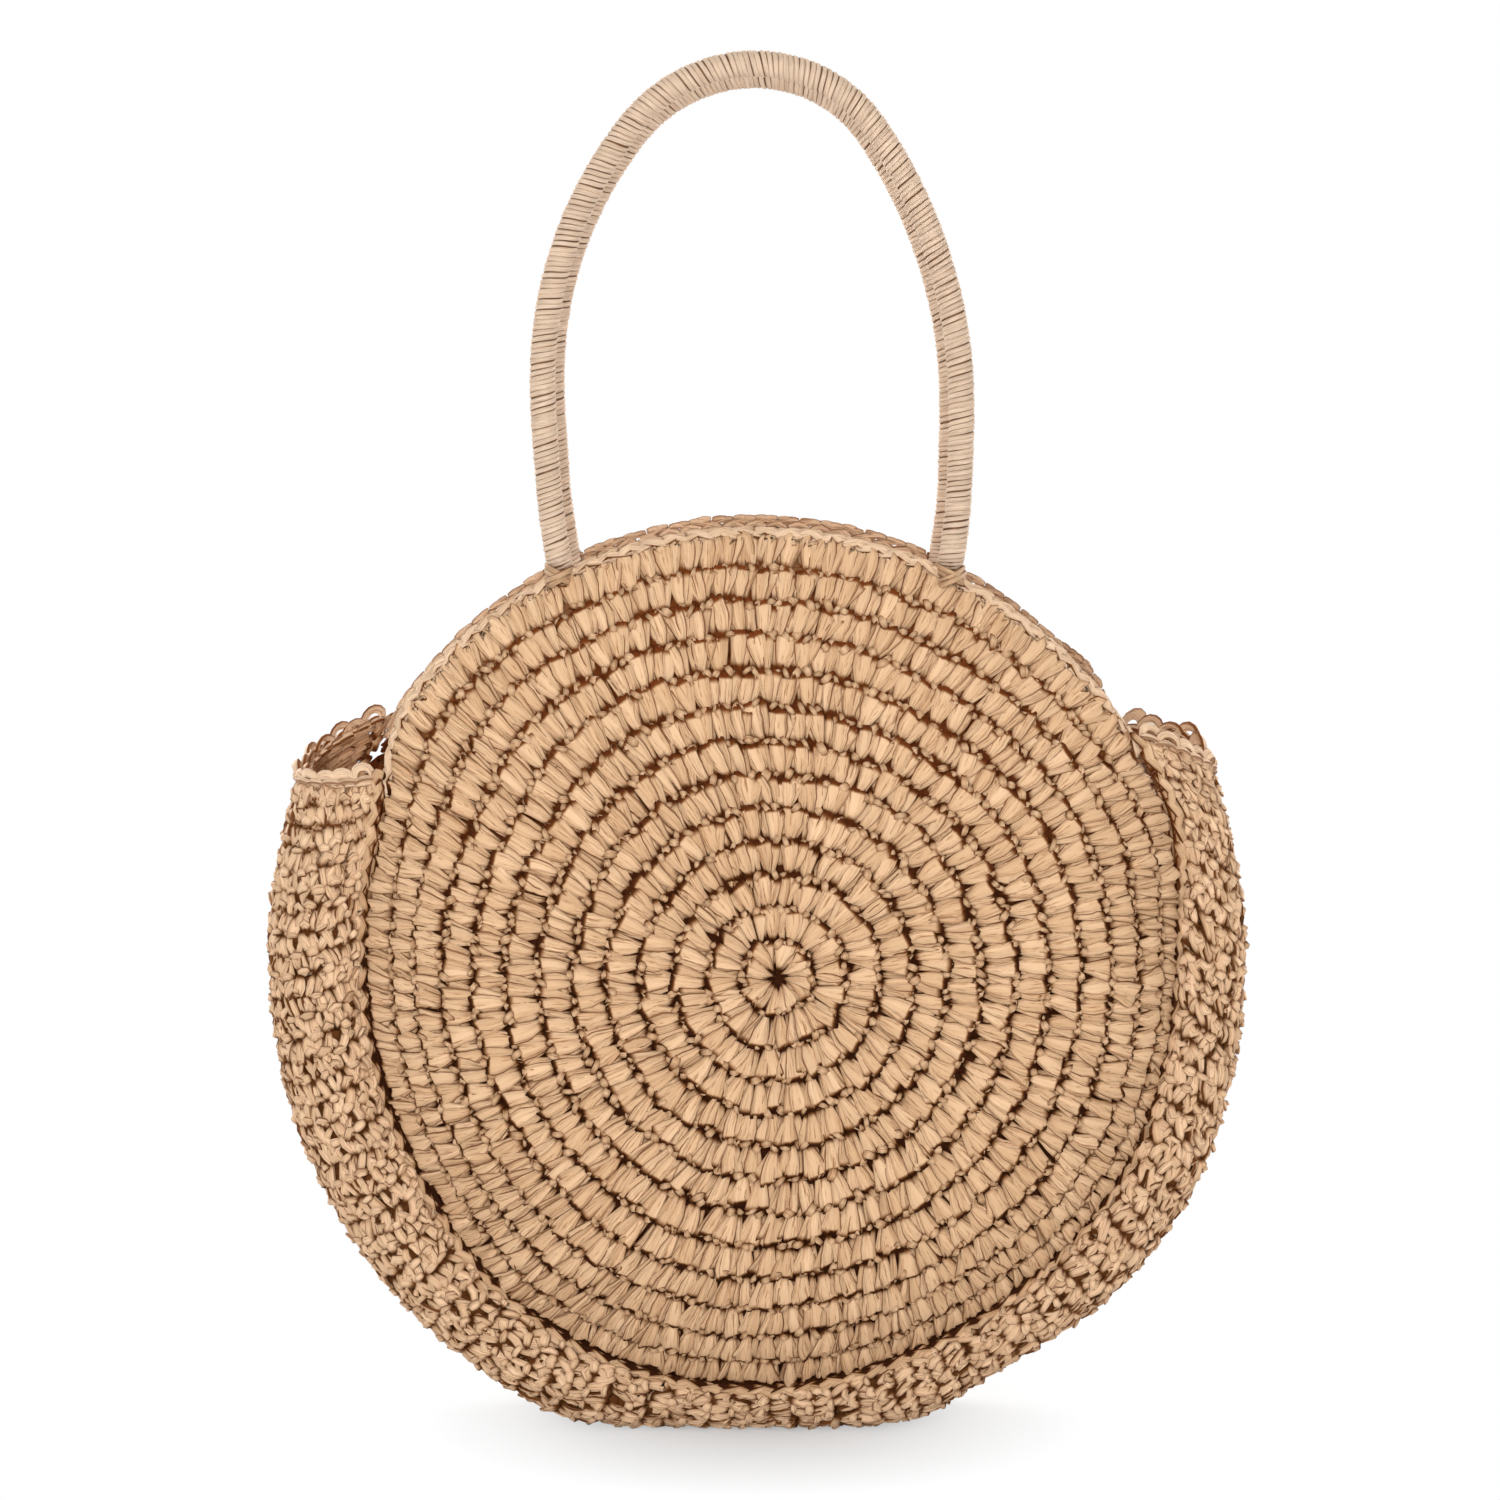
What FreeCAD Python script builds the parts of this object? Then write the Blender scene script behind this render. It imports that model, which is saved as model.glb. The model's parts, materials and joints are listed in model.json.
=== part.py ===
import FreeCAD
import Part

import math
import os

from FreeCAD import Vector

# A round crocheted straw bag, in millimetres. +Z is up, the front faces -Y, and the origin is on the
# floor under the middle of the bag. Radii and angles of the bag's outline are measured from the panels'
# middle, with 0 degrees towards +X and 90 degrees straight up.

# Driving dimensions of the two round panels
round_pitch = 13.8            # one crochet round, along the surface
round_count = 13
flat_round_count = 8          # the rounds in the middle that lie flat
crochet_thickness = 5.0
bag_depth = 124.0             # front face to back face, at the panels' middle
panel_middle_height = 195.0
side_tilt = 58.0              # degrees that the panel's edge is turned inward at the sides
bottom_tilt = 40.0
top_tilt = 22.0
free_edge_angle = 45.0        # above this angle the panel's edge is free and has the top tilt

# Driving dimensions of the gusset, the band between the panels
gusset_end_angle = 30.0       # the band's seams end this far above the horizontal on both sides
gusset_end_droop = 8.0        # degrees by which its open ends slope down, outward from the seams
gusset_bulge = 35.0           # from the seam to the band's middle, outward
gusset_side_flat = 24.0       # width of the band's flat middle at the sides
gusset_bottom_flat = 50.0     # and where the bag stands
floor_press = 0.5             # depth by which the floor flattens the band
station_step = 7.5            # degrees between the band's cross-sections
hem_stations = 6              # cross-sections of the chain on an open end, along each of its arcs
hem_tangent_step = 0.001      # share of an arc over which its direction is taken

# Driving dimensions of the crocheted edge chains, which are modelled as plain cords
seam_cord_diameter = 7.0
rim_cord_diameter = 6.0
hem_cord_diameter = 6.0

# Driving dimensions of the lining
lining_thickness = 1.0
lining_gap = 0.5              # from the crochet to the lining
lining_rim_drop = 20.0        # from the panel's free edge down to the lining's edge
lining_seam_margin = 4.0      # from the panel's seamed edge to the lining's edge
lining_end_drop = 22.0        # from the gusset's open end down to its lining's edge

# Driving dimensions of the handles and of the straw ties that hold their ends to the rim
handle_diameter = 10.5
core_diameter = 6.5
handle_half_width = 85.0      # middle of the bag to the handle's widest point
handle_leg_rise = 70.0        # from the handle's roots up to its widest point
handle_crown_rise = 132.5    # from the handle's widest point up to its crown
handle_crown_radius = 61.5
handle_leg_tuck = 6.0         # how far each leg draws in towards its root
tie_diameter = 2.5

# Clearances
seat_gap = 0.3                # between pieces that are sewn together
tie_clearance = 0.05          # around a tie where it passes through a handle
core_clearance = 0.05         # between a handle's core and its winding
knuckle_overhang = 1.0        # how far a handle's knuckle stands out beside its leg

# Sizes that follow from the driving dimensions
panel_reach = round_pitch * round_count
flat_radius = round_pitch * flat_round_count
bend_length = panel_reach - flat_radius
half_depth = bag_depth / 2
half_crochet = crochet_thickness / 2
handle_radius = handle_diameter / 2
tie_radius = tie_diameter / 2


def place(angle, radius, depth):
    turn = math.radians(angle)
    return Vector(radius * math.cos(turn), depth, panel_middle_height + radius * math.sin(turn))


def ease(share):
    share = min(1.0, max(0.0, share))
    return share * share * (3 - 2 * share)


def rise_share(angle):
    """0 at and below the horizontal, 1 where the panel's edge is free."""
    return ease(math.sin(math.radians(angle)) / math.sin(math.radians(free_edge_angle)))


def down_share(angle):
    """0 at and above the horizontal, 1 straight down."""
    return max(0.0, -math.sin(math.radians(angle))) ** 2


def edge_tilt(angle):
    tilt = side_tilt
    tilt += (top_tilt - side_tilt) * rise_share(angle)
    tilt += (bottom_tilt - side_tilt) * down_share(angle)
    return math.radians(tilt)


def panel_section(angle, along, inset):
    """Radius and depth of a point of the front panel: along its face from the middle, inset behind it."""
    bend_radius = bend_length / edge_tilt(angle)
    turn = max(0.0, along - flat_radius) / bend_radius
    radius = min(along, flat_radius) + (bend_radius - inset) * math.sin(turn)
    depth = -half_depth + inset + (bend_radius - inset) * (1 - math.cos(turn))
    return radius, depth


def panel_point(angle, along, inset):
    return place(angle, *panel_section(angle, along, inset))


def beyond_edge(angle, distance):
    """Radius and depth of a point that continues the front panel's middle layer past its edge."""
    radius, depth = panel_section(angle, panel_reach, half_crochet)
    tilt = edge_tilt(angle)
    return radius + distance * math.cos(tilt), depth + distance * math.sin(tilt)


def angles_between(first, last):
    count = max(1, math.ceil((last - first) / station_step))
    return [first + (last - first) * step / count for step in range(count + 1)]


def arc_edge(start, middle, end):
    return Part.Arc(start, middle, end).toShape()


def line_edge(start, end):
    return Part.LineSegment(start, end).toShape()


def ring_wire(angle, reach, outer_inset, inner_inset):
    """Cross-section of a panel's curved border, from the flat middle out to its edge."""
    halfway = (flat_radius + reach) / 2
    outer = [panel_point(angle, along, outer_inset) for along in (flat_radius, halfway, reach)]
    inner = [panel_point(angle, along, inner_inset) for along in (reach, halfway, flat_radius)]
    edges = [arc_edge(*outer), line_edge(outer[2], inner[0]), arc_edge(*inner), line_edge(inner[2], outer[0])]
    return Part.Wire(edges)


def make_panel_layer(reach_at, outer_inset, inner_inset):
    """A dished disc between two depths behind the front panel's face, out to reach_at(angle)."""
    halves = [angles_between(-90.0, 90.0), angles_between(90.0, 270.0)]
    corners = [panel_point(angle, flat_radius, outer_inset) for half in halves for angle in half[:-1]]
    flat = Part.Face(Part.makePolygon(corners + corners[:1]))
    layer = flat.extrude(Vector(0, inner_inset - outer_inset, 0))
    for half in halves:
        wires = [ring_wire(angle, reach_at(angle), outer_inset, inner_inset) for angle in half]
        layer = layer.fuse(Part.makeLoft(wires, True, True))
    return layer


def mirrored(shape):
    """The back panel's copy of a front piece."""
    return shape.mirror(Vector(0, 0, 0), Vector(0, 1, 0))


def make_front_panel():
    return make_panel_layer(lambda angle: panel_reach, 0.0, crochet_thickness)


def make_front_lining():
    outer_inset = crochet_thickness + lining_gap
    drop = lining_rim_drop - lining_seam_margin
    return make_panel_layer(
        lambda angle: panel_reach - lining_seam_margin - drop * rise_share(angle),
        outer_inset,
        outer_inset + lining_thickness,
    )


class GussetSection:
    """The band's middle layer at one angle: a front arc, a flat middle and a back arc, as radius and depth.

    The front arc starts at the seam cord and turns until it runs straight across the band.
    """

    def __init__(self, angle):
        self.angle = angle
        self.half_flat = gusset_side_flat / 2
        self.half_flat += (gusset_bottom_flat - gusset_side_flat) / 2 * down_share(angle)
        seam_radius, seam_depth = beyond_edge(angle, seam_cord_diameter / 2 + seat_gap)
        reach = seam_radius + gusset_bulge
        straight_down = -math.sin(math.radians(angle))
        if straight_down > 0:
            floor_reach = (panel_middle_height + floor_press) / straight_down - half_crochet
            reach = min(reach, floor_reach)
        across = -seam_depth - self.half_flat
        out = reach - seam_radius
        self.arc_radius = (across ** 2 + out ** 2) / (2 * out)
        self.arc_middle = reach - self.arc_radius
        seam_turn = math.atan2(across, seam_radius - self.arc_middle)
        self.start_turn = seam_turn - (seam_cord_diameter / 2 + seat_gap) / self.arc_radius

    def point(self, side, turn, offset):
        """side is -1 for the front arc and 1 for the back one; offset is outward from the middle layer."""
        radius = self.arc_radius + offset
        return place(
            self.angle,
            self.arc_middle + radius * math.cos(turn),
            side * (self.half_flat + radius * math.sin(turn)),
        )

    def run(self, offset):
        """The band's line at an offset, front to back: arc, straight, arc."""
        turns = (self.start_turn, self.start_turn / 2, 0.0)
        front = [self.point(-1, turn, offset) for turn in turns]
        back = [self.point(1, turn, offset) for turn in reversed(turns)]
        return [arc_edge(*front), line_edge(front[2], back[0]), arc_edge(*back)], front[0], back[2]

    def wire(self, outer_offset, inner_offset):
        outer, outer_front, outer_back = self.run(outer_offset)
        inner, inner_front, inner_back = self.run(inner_offset)
        ends = [line_edge(outer_back, inner_back), line_edge(inner_front, outer_front)]
        return Part.Wire(Part.__sortEdges__(outer + inner + ends))


class OpenEnd:
    """The sloping plane at which the gusset ends, on the right side."""

    def __init__(self):
        radius, depth = beyond_edge(gusset_end_angle, seam_cord_diameter / 2 + seat_gap)
        self.start = place(gusset_end_angle, radius, 0)
        turn = math.radians(gusset_end_droop)
        self.outward = Vector(math.cos(turn), 0, -math.sin(turn))
        self.upward = Vector(math.sin(turn), 0, math.cos(turn))

    def above(self, drop):
        """A block that holds everything beyond the plane, lowered by a distance."""
        size = 2 * panel_reach
        low = self.start - self.upward * drop - self.outward * self.start.x
        corners = [low, low + self.outward * size, low + self.outward * size + self.upward * size]
        corners.append(low + self.upward * size)
        corners = [corner - Vector(0, half_depth, 0) for corner in corners]
        return Part.Face(Part.makePolygon(corners + corners[:1])).extrude(Vector(0, bag_depth, 0))

    def point(self, side, share):
        """Where the band's middle layer meets the plane, at a share of its front or back arc."""
        low, high = 0.0, gusset_end_angle
        while high - low > 1e-6:
            angle = (low + high) / 2
            section = GussetSection(angle)
            found = section.point(side, share * section.start_turn, 0.0)
            if (found - self.start).dot(self.upward) > 0:
                high = angle
            else:
                low = angle
        return found


def make_gusset_layer(end_drop, outer_offset, inner_offset):
    angles = angles_between(-180.0 - gusset_end_angle, gusset_end_angle)
    wires = [GussetSection(angle).wire(outer_offset, inner_offset) for angle in angles]
    right_block = OpenEnd().above(end_drop)
    left_block = right_block.mirror(Vector(0, 0, 0), Vector(1, 0, 0))
    return Part.makeLoft(wires, True, True).cut([right_block, left_block])


def make_gusset():
    band = make_gusset_layer(0.0, half_crochet, -half_crochet)
    below = Part.makeBox(
        4 * panel_reach, 4 * half_depth, panel_middle_height,
        Vector(-2 * panel_reach, -2 * half_depth, -panel_middle_height),
    )
    return band.cut(below)


def make_gusset_lining():
    outer_offset = -half_crochet - lining_gap
    return make_gusset_layer(lining_end_drop, outer_offset, outer_offset - lining_thickness)


def make_edge_cord(diameter, first, last):
    """A cord that lies on the front panel's edge from one angle to another."""
    sections = []
    for angle in angles_between(first, last):
        turn = math.radians(angle)
        middle = place(angle, *beyond_edge(angle, diameter / 2 + seat_gap))
        across = Vector(-math.sin(turn), 0, math.cos(turn))
        sections.append(Part.Wire(Part.makeCircle(diameter / 2, middle, across)))
    return Part.makeLoft(sections, True, True)


def make_front_seam():
    return make_edge_cord(seam_cord_diameter, -180.0 - gusset_end_angle, gusset_end_angle)


def make_right_hem():
    """The chain along the gusset's open end, on the end face of the band."""
    open_end = OpenEnd()
    lift = open_end.upward * (hem_cord_diameter / 2 + seat_gap)
    shares = [step / hem_stations for step in range(hem_stations, -1, -1)]
    stations = [(-1, share) for share in shares] + [(1, share) for share in reversed(shares)]
    sections = []
    for side, share in stations:
        ahead = open_end.point(side, share + side * hem_tangent_step)
        behind = open_end.point(side, share - side * hem_tangent_step)
        middle = open_end.point(side, share) + lift
        sections.append(Part.Wire(Part.makeCircle(hem_cord_diameter / 2, middle, ahead - behind)))
    return Part.makeLoft(sections, True, True)


def rim_angle(across, distance):
    """The angle at which a line at this distance past the free edge is this far across from the middle."""
    radius, depth = beyond_edge(90.0, distance)
    return math.degrees(math.acos(across / radius))


class HandleFrame:
    """Where the front handle is tied on, and the five arcs of its middle line."""

    def __init__(self):
        self.root_across = handle_half_width - handle_leg_tuck
        self.knuckle_half = handle_radius + knuckle_overhang
        # The rim slopes, so the panel's front corner below the knuckle's inner end sets the height at
        # which a handle that is folded flat forward still clears the rim.
        edge_radius, edge_depth = beyond_edge(90.0, 0.0)
        corner_radius = edge_radius + half_crochet * math.sin(edge_tilt(90.0))
        corner_rise = math.sqrt(corner_radius ** 2 - (self.root_across - self.knuckle_half) ** 2)
        root_height = panel_middle_height + corner_rise + seat_gap + handle_radius
        self.root = Vector(self.root_across, edge_depth, root_height)
        rise = handle_crown_rise
        crown = handle_crown_radius
        side = handle_half_width ** 2 + (rise - crown) ** 2 - crown ** 2
        self.leg_radius = side / (2 * (handle_half_width - crown))
        self.widest_height = self.root.z + handle_leg_rise
        self.low_radius = (handle_leg_rise ** 2 + handle_leg_tuck ** 2) / (2 * handle_leg_tuck)
        self.low_turn = math.asin(handle_leg_rise / self.low_radius)
        self.crown_middle = self.widest_height + rise - crown
        self.join_turn = math.atan2(
            self.crown_middle - self.widest_height, self.leg_radius - handle_half_width
        )

    def leg_point(self, side, turn):
        """A point of a leg, above its widest point where turn is positive and below it where not."""
        radius = self.leg_radius if turn > 0 else self.low_radius
        across = handle_half_width - radius + radius * math.cos(turn)
        return Vector(side * across, self.root.y, self.widest_height + radius * math.sin(turn))

    def lowest_turn(self, extra):
        """The turn at which a leg that goes on below its root by a length extra ends."""
        return -self.low_turn - extra / self.low_radius

    def path(self, extra):
        """The middle line from root to root, with each leg going on below its root by a length extra."""
        low = self.lowest_turn(extra)
        turns = (low, low / 2, 0.0, self.join_turn / 2, self.join_turn)
        right = [self.leg_point(1, turn) for turn in turns]
        left = [self.leg_point(-1, turn) for turn in reversed(turns)]
        crown = Vector(0, self.root.y, self.crown_middle + handle_crown_radius)
        edges = [arc_edge(*right[:3]), arc_edge(*right[2:]), arc_edge(right[4], crown, left[0])]
        return Part.Wire(edges + [arc_edge(*left[:3]), arc_edge(*left[2:])])

    def tube(self, radius, extra):
        path = self.path(extra)
        first = path.Edges[0]
        start = self.leg_point(1, self.lowest_turn(extra))
        profile = Part.Wire(Part.makeCircle(radius, start, first.tangentAt(first.FirstParameter)))
        return path.makePipeShell([profile], True, False)

    def root_rods(self, radius, half_length):
        """A rod along X through each root."""
        rods = []
        for side in (-1, 1):
            start = Vector(side * self.root.x - half_length, self.root.y, self.root.z)
            rods.append(Part.makeCylinder(radius, 2 * half_length, start, Vector(1, 0, 0)))
        return rods


def make_front_handle(frame):
    """The rope core and the straw winding, whose knuckles at both roots are pierced for the ties."""
    outside = frame.tube(handle_radius, 0.0)
    for knuckle in frame.root_rods(handle_radius, frame.knuckle_half):
        outside = outside.fuse(knuckle)
    tie_holes = frame.root_rods(tie_radius + tie_clearance, 2 * frame.knuckle_half)
    through = 2 * handle_radius
    core = frame.tube(core_diameter / 2 - core_clearance, through).common(outside)
    winding = outside.cut(frame.tube(core_diameter / 2, through))
    return core.cut(tie_holes), winding.cut(tie_holes)


def make_front_tie(frame, side):
    """A straw tie: across through the handle's knuckle and down to the panel's edge on both sides of it."""
    reach = frame.knuckle_half + seat_gap + tie_radius
    foot_lift = seat_gap + tie_radius
    corners = []
    feet = []
    for shift in (-reach, reach):
        across = side * frame.root.x + shift
        corners.append(Vector(across, frame.root.y, frame.root.z))
        feet.append(place(rim_angle(across, foot_lift), *beyond_edge(90.0, foot_lift)))
    line = [feet[0], corners[0], corners[1], feet[1]]
    tie = Part.makeSphere(tie_radius, line[0])
    for start, end in zip(line, line[1:]):
        tie = tie.fuse(Part.makeCylinder(tie_radius, (end - start).Length, start, end - start))
        tie = tie.fuse(Part.makeSphere(tie_radius, end))
    return tie.removeSplitter()


def make_front_rim(frame):
    """The chain along the panel's free edge, in three lengths that leave room for the handle's roots."""
    room = frame.knuckle_half + 2 * tie_diameter
    start = gusset_end_angle + math.degrees(hem_cord_diameter / panel_reach)
    cord_lift = rim_cord_diameter / 2 + seat_gap
    outer = rim_angle(frame.root_across + room, cord_lift)
    inner = rim_angle(frame.root_across - room, cord_lift)
    spans = [(start, outer), (inner, 180.0 - inner), (180.0 - outer, 180.0 - start)]
    return Part.makeCompound([make_edge_cord(rim_cord_diameter, *span) for span in spans])


def main():
    frame = HandleFrame()
    core, winding = make_front_handle(frame)
    front_pieces = {
        "panel": make_front_panel(),
        "seam_edging": make_front_seam(),
        "rim_edging": make_front_rim(frame),
        "lining": make_front_lining(),
        "handle_core": core,
        "handle_wrap": winding,
        "left_handle_tie": make_front_tie(frame, -1),
        "right_handle_tie": make_front_tie(frame, 1),
    }
    right_hem = make_right_hem()
    pieces = {
        "gusset": make_gusset(),
        "gusset_lining": make_gusset_lining(),
        "right_gusset_edging": right_hem,
        "left_gusset_edging": right_hem.mirror(Vector(0, 0, 0), Vector(1, 0, 0)),
    }
    for name, shape in front_pieces.items():
        pieces["front_" + name] = shape
        pieces["back_" + name] = mirrored(shape)
    os.makedirs("parts", exist_ok=True)
    for name, shape in pieces.items():
        shape.exportStep(os.path.join("parts", name + ".step"))
        print(f"{name}: {len(shape.Solids)} solids, valid {shape.isValid()}, {shape.Volume / 1000:.1f} cm3")
    print(f"handle axis: depth {frame.root.y:.3f}, height {frame.root.z:.3f}, across {frame.root.x:.3f}")
    print(f"handle crown height {frame.crown_middle + handle_crown_radius:.3f}")


main()
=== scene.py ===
import json
import math

import bpy
import numpy as np
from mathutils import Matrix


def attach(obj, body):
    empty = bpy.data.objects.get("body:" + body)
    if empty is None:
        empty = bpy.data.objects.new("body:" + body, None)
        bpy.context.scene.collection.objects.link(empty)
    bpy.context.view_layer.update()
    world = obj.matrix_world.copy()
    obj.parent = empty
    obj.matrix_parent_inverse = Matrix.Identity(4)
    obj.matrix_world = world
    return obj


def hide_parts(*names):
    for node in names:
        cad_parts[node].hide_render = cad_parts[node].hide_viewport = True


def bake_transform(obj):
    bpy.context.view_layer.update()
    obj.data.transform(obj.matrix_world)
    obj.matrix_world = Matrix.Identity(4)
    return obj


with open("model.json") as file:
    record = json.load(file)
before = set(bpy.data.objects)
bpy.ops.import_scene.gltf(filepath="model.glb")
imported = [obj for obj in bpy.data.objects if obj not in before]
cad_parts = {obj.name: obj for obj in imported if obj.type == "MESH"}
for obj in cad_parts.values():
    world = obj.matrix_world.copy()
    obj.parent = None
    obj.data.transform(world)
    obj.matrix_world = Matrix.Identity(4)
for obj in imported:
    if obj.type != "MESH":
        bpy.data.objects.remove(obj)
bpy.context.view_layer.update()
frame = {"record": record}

# A round crocheted straw bag. Metres, +Z up, the front faces -Y. Angles of the outline are measured from
# the panels' middle, 0 towards +X and a quarter turn straight up.
mm = 0.001
turnRound = 2 * math.pi

bagForm = {
    "roundPitch": 13.8 * mm,     # one crochet round, along the surface
    "rounds": 13,
    "flatRounds": 8,             # the rounds in the middle that lie flat
    "thickness": 5.0 * mm,
    "depth": 124.0 * mm,
    "middleHeight": 195.0 * mm,
    "sideTilt": 58.0,            # degrees that the panel's edge turns inward
    "bottomTilt": 40.0,
    "topTilt": 22.0,
    "freeEdge": 45.0,
    "seamCord": 7.0 * mm,
    "seatGap": 0.3 * mm,
    "gussetEnd": 30.0,           # degrees, where the seams end
    "endDroop": 12.0,            # degrees that each open end slopes down, away from the middle
    "endPinch": 5.0 * mm,        # how far the open ends are drawn in
    "slack": 1.5 * mm,           # how much less the band bulges all round
    "dents": ((-60.0, 9.0 * mm), (-122.0, 2.5 * mm)),    # where the band is pushed in, degrees and depth
    "dentSpan": 15.0,            # degrees
    "backSpread": 3.0 * mm,      # how far the free rims have stretched outward
    "frontSpread": 2.0 * mm,
    "rightLift": 16.0 * mm,      # how far the back's right-hand end has crept up
    "twist": 3.0,                # degrees that the seams' ends are turned, one way in front, the other behind
    "sway": 9.0 * mm,            # how far the soft front has slid to the right, and the back to the left
    "endDip": 1.5,               # degrees that the open ends sag in their middle
    "gussetBulge": 35.0 * mm,
    "gussetSideFlat": 24.0 * mm,
    "gussetBottomFlat": 50.0 * mm,
    "floorPress": 0.5 * mm,
    "floorRound": 4.0 * mm,      # how softly the band turns onto the floor
    "floorClear": 0.2 * mm,      # between the lowest straw and the floor
}
panelReach = bagForm["roundPitch"] * bagForm["rounds"]
flatRadius = bagForm["roundPitch"] * bagForm["flatRounds"]
halfDepth = bagForm["depth"] / 2
halfThick = bagForm["thickness"] / 2
middleHeight = bagForm["middleHeight"]
seamOut = bagForm["seamCord"] / 2 + bagForm["seatGap"]
seamEnd = math.radians(bagForm["gussetEnd"])
twist = math.radians(bagForm["twist"])
halfTurn = np.array([-1.0, -1.0, 1.0])    # takes a front piece to the back, or a right one to the left


def ease(share):
    share = np.clip(share, 0.0, 1.0)
    return share * share * (3 - 2 * share)


def rises(value, start, span):
    # 0 up to the start, 1 from a span further on
    return ease((value - start) / span)


def arch(share):
    # 0 at both ends, 1 in the middle
    return np.sin(np.pi * share)


def toEnds(share, power):
    # 1 at both ends, 0 in the middle
    return np.abs(2 * share - 1) ** power


def riseShare(angle):
    return ease(np.sin(angle) / math.sin(math.radians(bagForm["freeEdge"])))


def downShare(angle):
    return np.maximum(0.0, -np.sin(angle)) ** 2


def edgeTilt(angle):
    side = bagForm["sideTilt"]
    tilt = side + (bagForm["topTilt"] - side) * riseShare(angle)
    return np.radians(tilt + (bagForm["bottomTilt"] - side) * downShare(angle))


def polar(angle, radius, depth, height=0.0):
    return np.stack([radius * np.cos(angle), depth + 0 * angle, height + radius * np.sin(angle)], axis=-1)


def panelSpot(angle, along, inset):
    # a point of the front panel and the way its face looks
    angle, along, inset = np.broadcast_arrays(angle, along, inset)
    bend = (panelReach - flatRadius) / edgeTilt(angle)
    turn = np.maximum(0.0, along - flatRadius) / bend
    radius = np.minimum(along, flatRadius) + (bend - inset) * np.sin(turn)
    depth = -halfDepth + inset + (bend - inset) * (1 - np.cos(turn))
    return polar(angle, radius, depth, middleHeight), polar(angle, np.sin(turn), -np.cos(turn))


def edgeWay(angle):
    # the way the front panel's face looks at its edge
    tilt = edgeTilt(angle)
    return polar(angle, np.sin(tilt), -np.cos(tilt))


def edgeSpot(angle, out, lift=0.0):
    # past the front panel's edge: out goes on along the panel, lift goes towards its outer face
    tilt = edgeTilt(angle)
    bend = (panelReach - flatRadius) / tilt
    radius = flatRadius + (bend - halfThick) * np.sin(tilt) + out * np.cos(tilt) + lift * np.sin(tilt)
    depth = -halfDepth + halfThick + (bend - halfThick) * (1 - np.cos(tilt))
    depth = depth + out * np.sin(tilt) - lift * np.cos(tilt)
    return radius, depth


def bandSection(angle):
    halfFlat = bagForm["gussetSideFlat"] / 2
    halfFlat = halfFlat + (bagForm["gussetBottomFlat"] - bagForm["gussetSideFlat"]) / 2 * downShare(angle)
    seamRadius, seamDepth = edgeSpot(angle, seamOut)
    bulge = bagForm["gussetBulge"] - bagForm["slack"]
    for degrees, deep in bagForm["dents"]:
        bulge = bulge - deep * np.exp(-((np.degrees(angle) - degrees) / bagForm["dentSpan"]) ** 2)
    bulge = bulge - bagForm["endPinch"] * rises(np.sin(angle), 0.05, 0.30)
    reach = seamRadius + bulge
    down = np.maximum(1e-6, -np.sin(angle))
    floorReach = (middleHeight + bagForm["floorPress"]) / down - halfThick
    soft = bagForm["floorRound"]
    reach = -soft * np.logaddexp(-reach / soft, -floorReach / soft)
    across = -seamDepth - halfFlat
    out = reach - seamRadius
    arc = (across ** 2 + out ** 2) / (2 * out)
    middle = reach - arc
    start = np.arctan2(across, seamRadius - middle) - seamOut / arc
    return halfFlat, arc, middle, start


def gussetSpot(angle, across, lift):
    # across runs from -1 at the front seam to 1 at the back one, lift goes out from the band's middle layer
    angle, across, lift = np.broadcast_arrays(angle, across, lift)
    halfFlat, arc, middle, start = bandSection(angle)
    run = np.abs(across) * (halfFlat + arc * start)
    turn = np.maximum(0.0, run - halfFlat) / arc
    side = np.sign(across)
    radius = middle + (arc + lift) * np.cos(turn)
    depth = side * (np.minimum(run, halfFlat) + (arc + lift) * np.sin(turn))
    return polar(angle, radius, depth, middleHeight), polar(angle, np.cos(turn), side * np.sin(turn))


def openEnd(across, drop=0.0):
    # the angle where the band's middle layer meets the sloping plane of its right end, or one below it
    droop = math.radians(bagForm["endDroop"])
    corner = polar(np.array(seamEnd), edgeSpot(np.array(seamEnd), seamOut)[0], 0.0, middleHeight)
    upward = np.array([math.sin(droop), 0.0, math.cos(droop)])
    low = np.full(across.shape, -0.4)
    high = np.full(across.shape, 0.9)
    for _ in range(40):
        middle = (low + high) / 2
        above = (gussetSpot(middle, across, 0.0)[0] - corner) @ upward + drop > 0
        low = np.where(above, low, middle)
        high = np.where(above, middle, high)
    sag = math.radians(bagForm["endDip"]) * (1 - across ** 2)
    sag = twist * np.sign(across) * np.abs(across) ** 1.6 + sag
    return (low + high) / 2 - sag, upward


# Where the bag has slumped: each zone is a start and the span over which it sets in.
slumpZones = {
    "face": (10 * mm, 30 * mm),
    "aboveFloor": (30 * mm, 90 * mm),
    "nearHandles": (250 * mm, 70 * mm),
    "rimSlope": (0.45, 0.25),
    "rimReach": (80 * mm, 90 * mm),
    "pastRim": (200 * mm, 30 * mm),
    "right": (120 * mm, 50 * mm),
    "behind": (0.0, 30 * mm),
    "high": (200 * mm, 80 * mm),
}


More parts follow.
